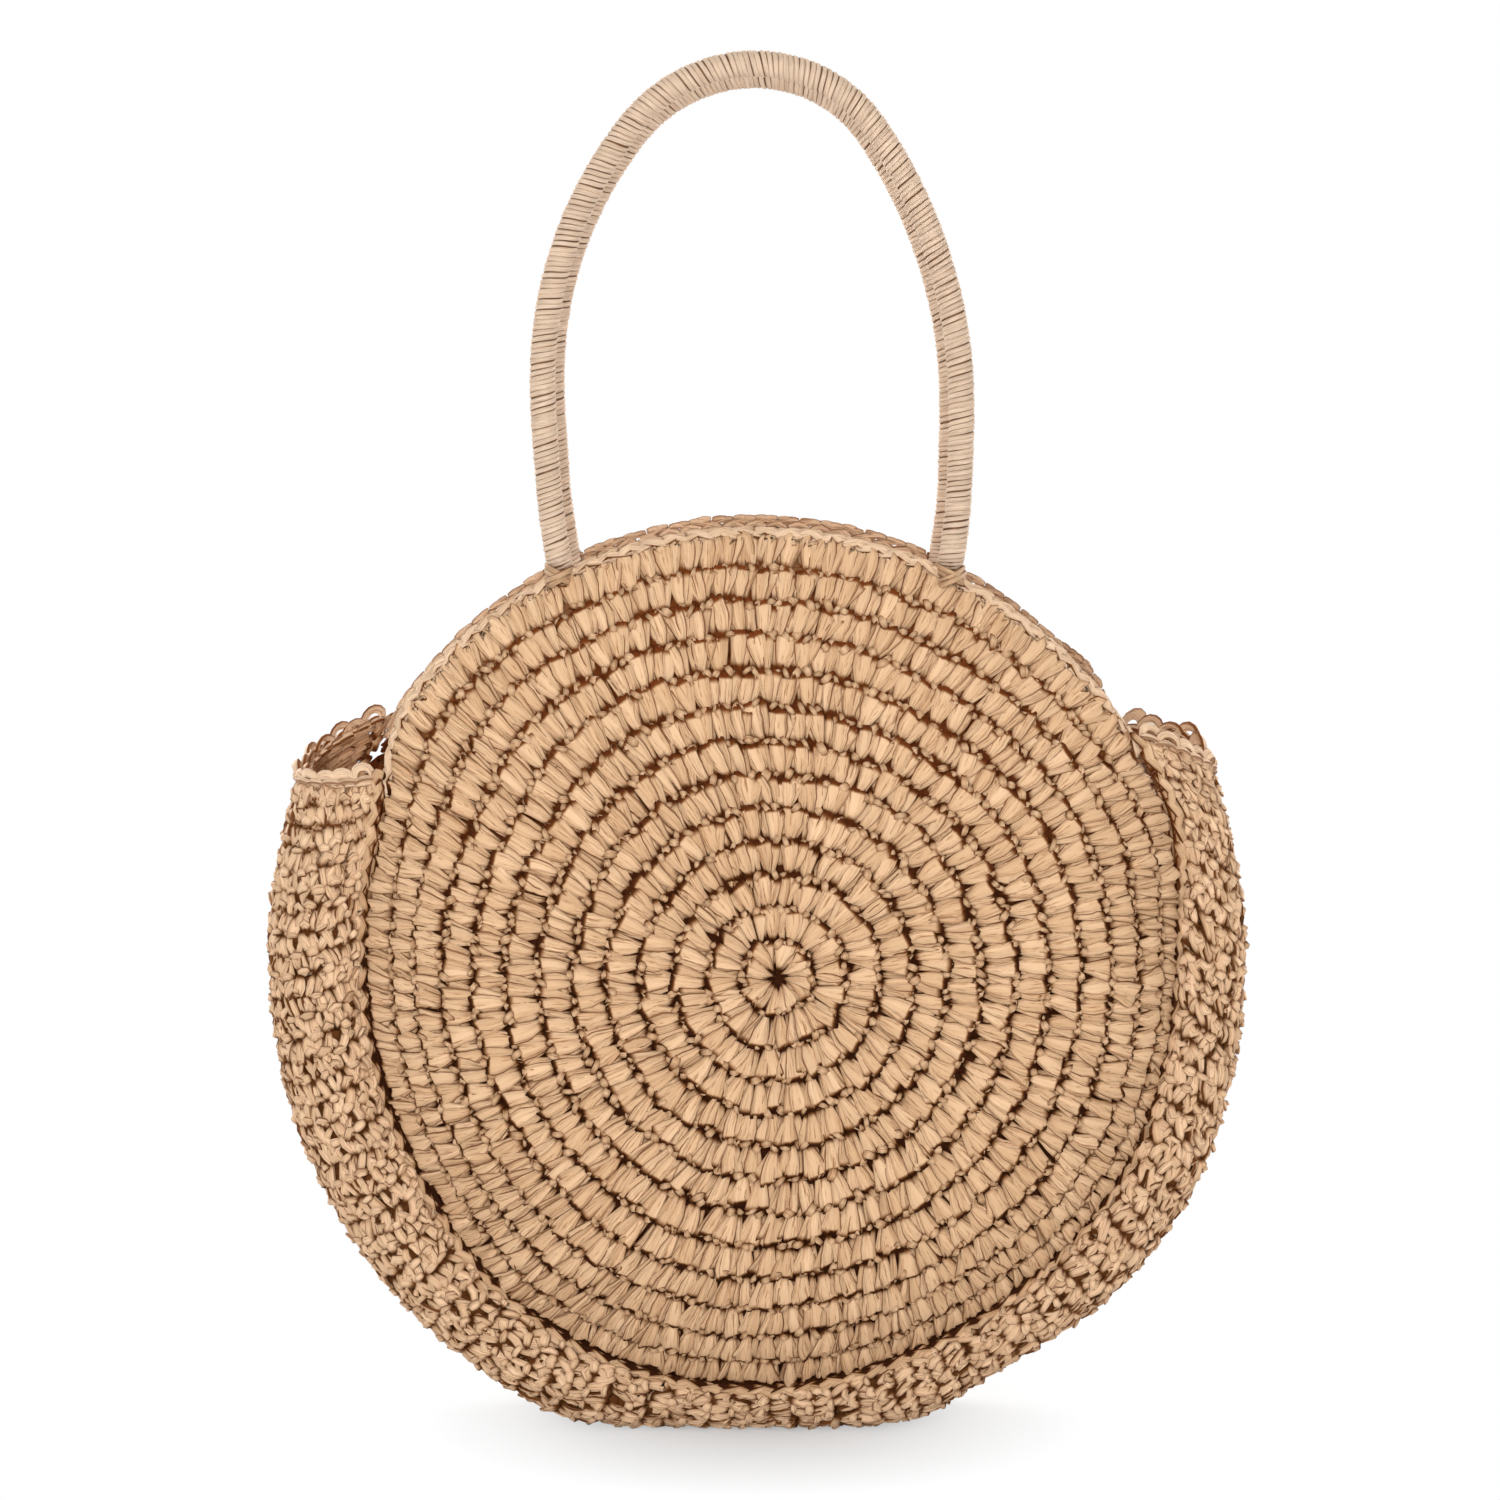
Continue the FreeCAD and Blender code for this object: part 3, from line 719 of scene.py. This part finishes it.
def addGussetRow(work, row):
    look = gussetWork
    columns = look["stitches"]
    column = np.arange(columns) + work.spread(-0.2, 0.2, columns) + 0.5 * (row % 2) - 0.25
    rowShift = work.spread(-0.2, 0.2, columns)
    way = 1 if row % 3 else -1                         # some rows are worked back
    nearEnd = min(row, gussetRows - 1 - row) < look["endRows"]

    def jit(low, high):
        return work.spread(low, high, columns)

    def strand(rows, cols, lift, bow, rings=7, sides=7, size=1.0, bend=0.0, hook=0.0, sunk=None, way=1):
        u = ringShares(rings)
        rowAt = rows[0][:, None] + (rows[1] - rows[0])[:, None] * u + np.reshape(bend, (-1, 1)) * arch(u)
        rowAt = row + 0.5 + rowShift[:, None] + way * (rowAt - 0.5)
        colAt = column[:, None] + cols[0][:, None] + (cols[1] - cols[0])[:, None] * u
        colAt = colAt + np.reshape(hook, (-1, 1)) * arch(u)
        rowAt = np.clip(rowAt, -0.02, gussetRows + 0.02)
        colAt = np.clip(colAt, 0.10, columns - 0.10)
        height = lift[:, None] + bow * (arch(u) ** 0.7 - 0.65)
        cross = colAt / columns * 2 - 1
        path, up = gussetSpot(rowAngle(rowAt, cross), cross, height)
        roll = work.spread(-0.5, 0.5, columns, 1, 1)
        up = unit(up + roll * unit(np.cross(np.gradient(path, axis=1), up)))
        wide = look["strandWide"] * size * jit(0.7, 1.25)[:, None] * (0.3 + 0.75 * arch(u) ** 0.7)
        thick = look["strandThick"] * size
        # painted shade at a strand's ends, where it dives in
        sunk = toEnds(u, 2.5) if sunk is None else sunk
        work.add(path, up, wide, thick, sides=sides, crease=look["crease"], boxy=0.62, sunk=sunk)

    strand((jit(-0.3, 0.0), jit(0.95, 1.25)), (jit(0.3, 0.6), jit(-0.5, 0.1)), jit(-0.4, 0.5) * mm, 2.2 * mm,
           size=1.1, hook=jit(-0.3, 0.1), way=way)
    strand((jit(-0.3, 0.0), jit(0.95, 1.25)), (jit(0.8, 1.1), jit(0.1, 0.7)), jit(-0.5, 0.4) * mm, 2.2 * mm,
           size=1.0, hook=jit(-0.1, 0.3), way=way)
    strand((jit(0.0, 0.3), jit(0.8, 1.15)), (jit(0.1, 0.6), jit(0.4, 1.2)), jit(-0.1, 0.8) * mm, 2.4 * mm,
           size=0.8, hook=jit(-0.3, 0.3), way=way)
    # the ridge
    strand((jit(0.85, 1.1), jit(0.9, 1.2)), (jit(-0.25, 0.1), jit(0.55, 0.95)), jit(0.6, 1.3) * mm, 2.6 * mm,
           size=1.05, bend=jit(-0.5, 0.0))
    # the yarn that runs behind the stitches, painted dark as shade, less so near the open ends where the
    # inside shows
    for start in (0.15, 0.48, 0.81):
        strand((start + jit(-0.05, 0.05), start + jit(-0.05, 0.05)), (jit(-0.2, 0.0), jit(1.0, 1.2)),
               jit(-1.5, -1.2) * mm, 0.4 * mm, rings=4, sides=5, size=1.7, sunk=0.35 if nearEnd else 0.9)


bounds = np.linspace(0, gussetRows, gussetWork["sectors"] + 1).round().astype(int)
for sector, (first, last) in enumerate(zip(bounds, bounds[1:])):
    work = StrawWork(300 + sector)
    for row in range(first, last):
        addGussetRow(work, row)
    settle(work.build(f"gussetRows{first + 1}to{last}"), gussetFinish, ["gusset"])
print("gusset worked,", gussetRows, "rows")


# Chains: links of two strands that part and meet again, along a line given by spot(run).
def addChain(work, spot, length, look):
    count = max(2, round(length / look["link"]))
    u = ringShares(10)
    for side in (-1, 1):
        start = np.arange(count) + work.spread(-0.06, 0.06, count)
        run = (start[:, None] - look["overlap"] / 2 + (1 + look["overlap"]) * u) * length / count
        point, up, sideways = spot(np.clip(run, 0.0, length))
        parted = side * look["halfWidth"] * (0.15 + 0.85 * arch(np.clip(u * 0.92 + 0.10, 0, 1)) ** 0.8)
        height = look["rise"] * (arch(u) ** 0.8) - 0.9 * look["thick"]
        jitter = work.spread(0.8, 1.2, count, 1)
        path = point + sideways * (parted * jitter)[..., None] + up * (height * jitter)[..., None]
        lean = unit(up + 0.35 * side * sideways)
        wide = look["wide"] * work.spread(0.85, 1.2, count)[:, None] * (0.7 + 0.4 * arch(u))
        # each link is painted darker towards its ends, as shade where it dives in
        work.add(path, lean, wide, look["thick"], sides=8, sunk=look["sunk"] * toEnds(u, 3))


def addBraid(work, spot, length, look):
    # strands that cross over from side to side by turns
    count = round(length / look["link"])
    u = ringShares(11)
    side = np.where(np.arange(count) % 2 == 0, 1.0, -1.0)[:, None]
    start = (np.arange(count) + work.spread(-0.12, 0.12, count))[:, None] * length / count
    point, up, sideways = spot(np.clip(start + look["reach"] * (u - 0.5), 0.0, length))
    swing = side * look["halfWidth"] * np.cos(np.pi * u) * work.spread(0.8, 1.2, count, 1)
    height = look["rise"] * arch(u) ** 0.8 * work.spread(0.8, 1.2, count, 1) - look["thick"]
    path = point + sideways * swing[..., None] + up * height[..., None]
    lean = unit(up + work.spread(-0.4, 0.4, count, 1, 1) * sideways)
    wide = look["wide"] * work.spread(0.8, 1.25, count, 1) * (0.6 + 0.45 * arch(u))
    work.addLoose(path, lean, wide, look, u)


def lineOf(points, ups, sides):
    # turns a fine line of points, with two directions at each, into spot(run)
    run = runAlong(points)

    def spot(at):
        found = [np.stack([np.interp(at, run, data[:, axis]) for axis in range(3)], axis=-1)
                 for data in (points, ups, sides)]
        return found[0], unit(found[1]), unit(found[2])

    return spot, run[-1]


seamWork = {"link": 5.0 * mm, "halfWidth": 1.8 * mm, "wide": 2.0 * mm, "thick": 1.0 * mm, "rise": 1.7 * mm,
            "proud": 2.6 * mm, "aside": 1.3 * mm, "reach": 13.0 * mm, "sunk": 0.9,
            "cordTrim": 0.14}            # radians that the cords stop short of the seam's ends
rimWork = {"link": 4.6 * mm, "halfWidth": 1.7 * mm, "wide": 1.5 * mm, "thick": 0.95 * mm, "rise": 1.5 * mm,
           "lift": 2.4 * mm, "start": 27.5, "reach": 13.0 * mm, "sunk": 0.05}
hemWork = {"link": 7.5 * mm, "halfWidth": 1.9 * mm, "wide": 1.5 * mm, "thick": 1.1 * mm, "rise": 1.8 * mm,
           "lift": 0.2 * mm, "overlap": 0.45, "sunk": 0.2, "scallop": 8.6 * mm, "scallopRise": 6.4 * mm,
           "scallopDip": 1.2 * mm,       # how deep its feet stand in the hem
           "arches": ((0.58, 1.0), (0.66, 0.12))}    # each one's half span and its share of the rise


def seamCords(work):
    # a cord in the groove beside the panel, and one under the braid, both painted dark as the groove's shade,
    # less so near the seam's ends
    end = seamEnd - seamWork["cordTrim"]
    angle = np.linspace(-math.pi - end + twist, end + twist, 361)
    up = edgeWay(angle)[None]
    within = 0.2 + 0.8 * rises(np.minimum(angle - angle[0], angle[-1] - angle), 0.1, 0.2)[None]
    cords = (1.1 * mm, -0.3 * mm, 1.0 * mm, 1.0), (seamOut, 0.2 * mm, 2.4 * mm, 0.75)
    for out, lift, size, sunk in cords:
        radius, depth = edgeSpot(angle, out, lift)
        path = polar(angle, radius, depth, middleHeight)[None]
        work.add(path, up, size, size, sides=8, crease=0.15, sunk=sunk * within, cellRings=20)


def seamLine():
    angle = np.linspace(-math.pi - seamEnd + twist, seamEnd + twist, 361)
    gussetWay = gussetSpot(angle, np.full(1, -1.0), 0.0)[1]
    up = unit(1.3 * edgeWay(angle) + gussetWay)
    radius, depth = edgeSpot(angle, seamOut + seamWork["aside"])
    point = polar(angle, radius, depth, middleHeight) + seamWork["proud"] * up
    along = np.gradient(point, axis=0)
    return lineOf(point, up, unit(np.cross(up, along)))


def rimLine():
    angle = np.radians(np.linspace(rimWork["start"], 180 - rimWork["start"], 241)) + twist
    tilt = edgeTilt(angle)
    radius, depth = edgeSpot(angle, rimWork["lift"])
    point = polar(angle, radius, depth, middleHeight)
    return lineOf(point, edgeWay(angle), polar(angle, np.cos(tilt), np.sin(tilt)))


def hemLine():
    # along the right open end; the left one is the same, turned half round
    point, out = gussetSpot(endAngles, crossShares, 0.0)
    up = np.broadcast_to(endUp, point.shape)
    return lineOf(point + hemWork["lift"] * up, up, out)


def addScallops(work, spot, length, look):
    # little arches of straw along a hem, a small one within each
    count = max(3, round(length / look["scallop"]))
    u = ringShares(12)
    start = np.arange(count) + work.spread(-0.12, 0.12, count)
    for span, rise in look["arches"]:
        run = (start[:, None] + 0.5 - span * np.cos(np.pi * u)) * length / count
        point, up, sideways = spot(np.clip(run, 0.0, length))
        height = rise * look["scallopRise"] * work.spread(0.7, 1.15, count, 1) * arch(u) ** 0.75
        aside = work.spread(-1.8, 1.8, count, 1) * mm * arch(u)
        path = point + up * (height - look["scallopDip"])[..., None] + sideways * aside[..., None]
        lean = unit(sideways + work.spread(-0.2, 0.9, count, 1, 1) * up)
        wide = look["wide"] * work.spread(1.0, 1.6, count)[:, None] * (0.8 + 0.3 * arch(u))
        work.addLoose(path, lean, wide, look, u)


for side, seed in (("front", 400), ("back", 420)):
    work = StrawWork(seed, side == "back")
    addBraid(work, *seamLine(), seamWork)
    seamCords(work)
    settle(work.build(f"{side}SeamChain"), strawFinish, [f"{side}_seam_edging"])
    work = StrawWork(seed + 1, side == "back")
    addBraid(work, *rimLine(), rimWork)
    settle(work.build(f"{side}RimChain"), rimBacklitFinish, [f"{side}_rim_edging"])
for side, seed in (("right", 440), ("left", 450)):
    work = StrawWork(seed, side == "left")
    line = hemLine()
    addChain(work, *line, hemWork)
    addScallops(work, *line, hemWork)
    settle(work.build(f"{side}HemChain"), rimBacklitFinish, [f"{side}_gusset_edging"])
print("chains worked")

# The handles: a rope core in a close winding of straw, tied on at both roots.
handleWork = {
    "halfWidth": 85.0 * mm,      # at the widest
    "legRise": 70.0 * mm,        # from the hinge line to the widest
    "crownRise": 132.5 * mm,     # from there to the top
    "crownRadius": 61.5 * mm,
    "tuck": 6.0 * mm,            # how much closer together the roots are
    "lean": 2.2 * mm,            # how far the soft legs bend to the left
    "radius": 5.25 * mm,
    "coreRadius": 3.9 * mm,
    "starts": 3,                 # straws wound side by side
    "pitch": 2.2 * mm,           # from one straw to the next
    "strawThick": 1.0 * mm,
    "tail": 12.0 * mm,           # the leg goes on this far below its hinge line
    "tuckIn": 9.0 * mm,          # and leans in behind the rim
    "ringsPerTurn": 16,
}
hinges = {joint["child"]: joint for joint in frame["record"]["behaviour"]["joints"]}
rootDepth = -abs(hinges["front_handle"]["pos_m"][1])
rootHeight = hinges["front_handle"]["pos_m"][2]


def archLine(lean):
    # the front handle's middle line from the left tail over the crown to the right tail
    look = handleWork
    half, rise, crown = look["halfWidth"], look["crownRise"], look["crownRadius"]
    leg = (half ** 2 + (rise - crown) ** 2 - crown ** 2) / (2 * (half - crown))
    widest = rootHeight + look["legRise"]
    low = (look["legRise"] ** 2 + look["tuck"] ** 2) / (2 * look["tuck"])
    lowTurn = math.asin(look["legRise"] / low) + look["tail"] / low
    join = math.atan2(rise - crown, leg - half)
    lowTurns = np.linspace(-lowTurn, 0, 60)
    legTurns = np.linspace(0, join, 60)[1:]
    crownTurns = np.linspace(join, math.pi / 2, 60)[1:]
    across = np.concatenate([half - low + low * np.cos(lowTurns), half - leg + leg * np.cos(legTurns),
                             crown * np.cos(crownTurns)])
    height = np.concatenate([widest + low * np.sin(lowTurns), widest + leg * np.sin(legTurns),
                             widest + rise - crown + crown * np.sin(crownTurns)])
    across = np.concatenate([-across, across[-2::-1]])
    height = np.concatenate([height, height[-2::-1]])
    inside = look["tuckIn"] * ease((rootHeight + 4 * mm - height) / look["tail"])
    risen = np.clip((height - rootHeight) / (look["legRise"] + rise), 0, 1)
    across = across - lean * arch(risen ** 1.6)
    point = np.stack([across, rootDepth + inside, height], axis=-1)
    along = unit(np.gradient(point, axis=0))
    front = np.broadcast_to(np.array([0.0, -1.0, 0.0]), point.shape)
    return lineOf(point, front, np.cross(along, front))


def addWinding(work, spot, length):
    look = handleWork
    lead = look["pitch"] * look["starts"]
    turns = length / lead
    rings = int(turns * look["ringsPerTurn"])
    share = np.linspace(0, 1, rings)
    wobble = sum(work.spread(0.1, 0.3, 1)[0] * np.sin(share * turnRound * k + work.spread(0, 6, 1)[0])
                 for k in (5, 11, 23, 37))
    for start in range(look["starts"]):
        own = np.interp(share, np.linspace(0, 1, 160), work.spread(-0.05, 0.05, 160))
        turn = turnRound * (turns * share + start / look["starts"]) + wobble
        run = length * (share + own * lead / length)
        point, front, side = spot(np.clip(run, 0, length))
        radial = front * np.cos(turn)[:, None] + side * np.sin(turn)[:, None]
        bulge = np.interp(share, np.linspace(0, 1, 300), work.spread(-0.12, 0.12, 300)) * mm
        path = point + radial * (look["radius"] - look["strawThick"] * 0.75 + bulge)[:, None]
        wide = look["pitch"] * np.interp(share, np.linspace(0, 1, 240), work.spread(0.50, 0.57, 240))
        work.add(path[None], radial[None], wide[None], look["strawThick"], sides=8, crease=0.12,
                 boxy=0.95, sunk=np.zeros((1, rings)), cellRings=look["ringsPerTurn"])


def makeCore(name, spot, length, turned):
    rings = 160
    point, front, _ = spot(np.linspace(0, length, rings))
    radius = handleWork["coreRadius"]
    work = StrawWork(1, turned, False)
    # the rope inside the winding carries painted shade at half strength
    work.add(point[None], front[None], radius, radius, sides=16, crease=0.0, boxy=1.0,
             sunk=np.full((1, rings), 0.5), cellRings=8)
    return work.build(name)


blendBelow = 8 * mm
blendAbove = 12 * mm
for side, seed in (("front", 500), ("back", 520)):
    back = side == "back"
    spot, length = archLine(-handleWork["lean"] if back else handleWork["lean"])
    work = StrawWork(seed, back, False)
    addWinding(work, spot, length)
    winding = work.build(f"{side}HandleWinding")
    core = makeCore(f"{side}HandleRope", spot, length, back)
    settle(winding, woundFlareFinish, [f"{side}_handle_wrap"], None)
    settle(core, woundFlareFinish, [f"{side}_handle_core"], None)
    depth = -rootDepth if back else rootDepth
    for piece in (winding, core):
        rootHeight - blendBelow
        rootHeight + blendAbove
        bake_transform(piece)
print("handles wound")

# The ties: straw stitches that sew each handle's root to the rim.
tieWork = {"stitches": 4, "wide": 1.2 * mm, "thick": 0.7 * mm, "reach": 5.8 * mm, "low": -9.0 * mm,
           "high": -3.5 * mm, "proud": 6.2 * mm, "behind": 4.0 * mm, "bowCentre": 3.0 * mm, "sunk": 0.2}


def addTies(work, across):
    look = tieWork
    count = look["stitches"]
    u = np.linspace(0, 1, 16)
    way = np.where(np.arange(count) % 2 == 0, 1.0, -1.0)[:, None]
    x = across + way * look["reach"] * (2 * u - 1) * work.spread(0.85, 1.1, count, 1)
    bow = (look["proud"] + look["behind"]) * arch(u) ** 0.6 * work.spread(0.96, 1.06, count, 1)
    y = rootDepth + look["behind"] - bow
    level = np.linspace(-1.6, 1.6, count)[:, None] * mm
    z = rootHeight + look["low"] + (look["high"] - look["low"]) * u + level
    path = np.stack([x, y, z], axis=-1)
    up = np.stack([0.6 * (x - across), y - rootDepth - look["bowCentre"], 0 * z], axis=-1)
    work.addLoose(path, unit(up), look["wide"], look, u)


for side, seed in (("front", 540), ("back", 550)):
    for end, sign in (("left", -1), ("right", 1)):
        work = StrawWork(seed + sign, side == "back")
        addTies(work, (-sign if side == "back" else sign) * (handleWork["halfWidth"] - handleWork["tuck"]))
        piece = work.build(f"{side}{end.capitalize()}HandleTie")
        settle(piece, strawFinish, [f"{side}_{end}_handle_tie"])
print("ties sewn")

# The lining: two round pieces and a band of thin cloth, stitched in below the rims.
liningWork = {"inset": 6.0 * mm, "rimDrop": 20.0 * mm, "seamMargin": 4.0 * mm, "endDrop": 22.0 * mm,
              "wrinkle": 1.3 * mm, "thickness": 0.8 * mm, "bandGap": 1.0 * mm, "bandShare": 0.985}


def makeCloth(name, points, faces):
    mesh = bpy.data.meshes.new(name)
    mesh.from_pydata([tuple(point) for point in sway(points)], [], faces)
    mesh.update()
    for polygon in mesh.polygons:
        polygon.use_smooth = True
    piece = addPiece(name, mesh)
    solid = piece.modifiers.new("cloth", "SOLIDIFY")
    solid.thickness = liningWork["thickness"]
    solid.offset = 0.0
    return piece


def roundLining(name, turned):
    sectors, rings = 120, 26
    angle = np.arange(sectors) * turnRound / sectors
    drop = liningWork["rimDrop"] - liningWork["seamMargin"]
    reach = panelReach - liningWork["seamMargin"] - drop * riseShare(angle)
    share = np.arange(1, rings + 1)[:, None] / rings
    crease = liningWork["wrinkle"] * (1 + np.sin(7 * angle + 4 * share) * np.sin(4 * angle - 9 * share)) / 2
    point = panelSpot(angle[None] + 0 * share, reach[None] * share, liningWork["inset"] + crease)[0]
    middle = panelSpot(np.zeros(1), np.zeros(1), liningWork["inset"])[0]
    points = np.concatenate([point.reshape(-1, 3), middle])
    if turned:
        points = points * halfTurn
    faces = []
    for j in range(sectors):
        nextJ = (j + 1) % sectors
        faces.append((len(points) - 1, j, nextJ))
        for i in range(rings - 1):
            low, high = i * sectors, (i + 1) * sectors
            faces.append((low + j, high + j, high + nextJ, low + nextJ))
    return makeCloth(name, points, faces)


def bandLining(name):
    lengthwise, crosswise = 150, 30
    across = liningWork["bandShare"] * np.linspace(-1, 1, crosswise + 1)[None]
    end = openEnd(across, liningWork["endDrop"])[0]
    share = np.linspace(0, 1, lengthwise + 1)[:, None]
    angle = (-math.pi - end[:, ::-1]) * (1 - share) + end * share
    crease = liningWork["wrinkle"] * (1 + np.sin(31 * angle + 5 * across) * np.sin(9 * across)) / 2
    point = gussetSpot(angle, across, -halfThick - liningWork["bandGap"] - crease)[0]
    lengthRun = np.linalg.norm(np.diff(point[:, crosswise // 2], axis=0), axis=1).sum()
    widthRun = np.linalg.norm(np.diff(point, axis=1), axis=2).sum(axis=1)
    print(f"band lining {lengthRun:.3f} long, {widthRun.min():.3f} to {widthRun.max():.3f} wide")
    faces = []
    for i in range(lengthwise):
        for j in range(crosswise):
            low, high = i * (crosswise + 1) + j, (i + 1) * (crosswise + 1) + j
            faces.append((low, high, high + 1, low + 1))
    return makeCloth(name, point.reshape(-1, 3), faces)


for side in ("front", "back"):
    cloth = roundLining(f"{side}LiningCloth", side == "back")
    settle(cloth, liningFinish, [f"{side}_lining"])
cloth = bandLining("gussetLiningCloth")
settle(cloth, liningFinish, ["gusset_lining"])
print("lining sewn in")

# Floor, light and camera
stageLook = {"floorSize": 8.0, "paint": (0.65, 0.65, 0.65, 1), "white": (1, 1, 1, 1), "worldLight": 0.47,
             "glow": 0.35, "glowFrom": 0.03, "glowFull": 0.14}    # the floor's own light, least under the bag
lamps = {
    "keySoftbox": {"place": (-0.25, -1.85, 0.60), "power": 26.0, "size": 0.8},
    "fillSoftbox": {"place": (1.3, -1.2, 0.8), "power": 4.0, "size": 1.2},
    "topSoftbox": {"place": (0.0, 0.9, 1.5), "power": 18.0, "size": 1.0},
    "leftRimSoftbox": {"place": (-0.95, 0.95, 0.55), "power": 16.0, "size": 0.7},
    "rightRimSoftbox": {"place": (0.95, 0.95, 0.55), "power": 16.0, "size": 0.7},
}
lampAim = (0, 0, 0.22)


def straightRays(finish):
    # 1 for what the camera sees, straight or in a shine or through something clear
    seen = finish.node("LightPath", output=0)
    for output in (3, 6):
        seen = finish.larger(seen, finish.node("LightPath", output=output))
    return seen


def makeFloor():
    mesh = bpy.data.meshes.new("studioFloor")
    half = stageLook["floorSize"] / 2
    corners = [(-half, -half, 0), (half, -half, 0), (half, half, 0), (-half, half, 0)]
    mesh.from_pydata(corners, [], [(0, 1, 2, 3)])
    floor = addPiece("studioFloor", mesh)
    finish = Finish("studioWhite")
    place = finish.node("TexCoord", output=3)
    distance = finish.node("VectorMath", {"operation": "LENGTH"}, {0: place}, output=1)
    far = finish.spread(distance, stageLook["glowFrom"], stageLook["glowFull"])
    paint = finish.node("BsdfDiffuse", None, {"Color": stageLook["paint"]})
    glow = finish.node("Emission", None, {"Color": stageLook["white"], "Strength": 1.0})
    share = straightRays(finish) * (far * (1 - stageLook["glow"]) + stageLook["glow"])
    mixed = finish.node("MixShader", None, {0: share, 1: paint, 2: glow})
    finish.node("OutputMaterial", None, {"Surface": mixed})
    mesh.materials.append(finish.data)


def makeWorld():
    world = bpy.data.worlds.new("studio")
    bpy.context.scene.world = world
    finish = Finish("studio", world)
    soft = finish.node("Background", None, {"Color": stageLook["white"], "Strength": stageLook["worldLight"]})
    white = finish.node("Background", None, {"Color": stageLook["white"], "Strength": 1.0})
    mixed = finish.node("MixShader", None, {0: straightRays(finish), 1: soft, 2: white})
    finish.node("OutputWorld", None, {"Surface": mixed})


def aimAt(thing, target):
    away = np.array(thing.location) - np.array(target)
    flat = math.hypot(away[0], away[1])
    thing.rotation_euler = (math.atan2(flat, away[2]), 0, math.atan2(away[0], -away[1]))


def addLamp(name, place, power, size):
    lamp = bpy.data.lights.new(name, "AREA")
    lamp.energy = power
    lamp.size = size
    piece = addPiece(name, lamp)
    piece.location = place
    aimAt(piece, lampAim)


makeFloor()
makeWorld()
for name, lamp in lamps.items():
    addLamp(name, **lamp)

viewpoint = {"aim": (-0.002, 0.0, 0.2828), "distance": 1.95, "azimuth": 0.0, "elevation": 5.3, "lens": 111.7}
camera = addPiece("photoCamera", bpy.data.cameras.new("photoCamera"))
turned = math.radians(viewpoint["azimuth"])
raised = math.radians(viewpoint["elevation"])
camera.location = np.array(viewpoint["aim"]) + viewpoint["distance"] * np.array([
    math.sin(turned) * math.cos(raised), -math.cos(turned) * math.cos(raised), math.sin(raised)])
aimAt(camera, viewpoint["aim"])
camera.data.lens = viewpoint["lens"]
camera.data.sensor_width = 36.0
bpy.context.scene.camera = camera
bpy.context.scene.view_settings.view_transform = "Standard"
print("studio set")
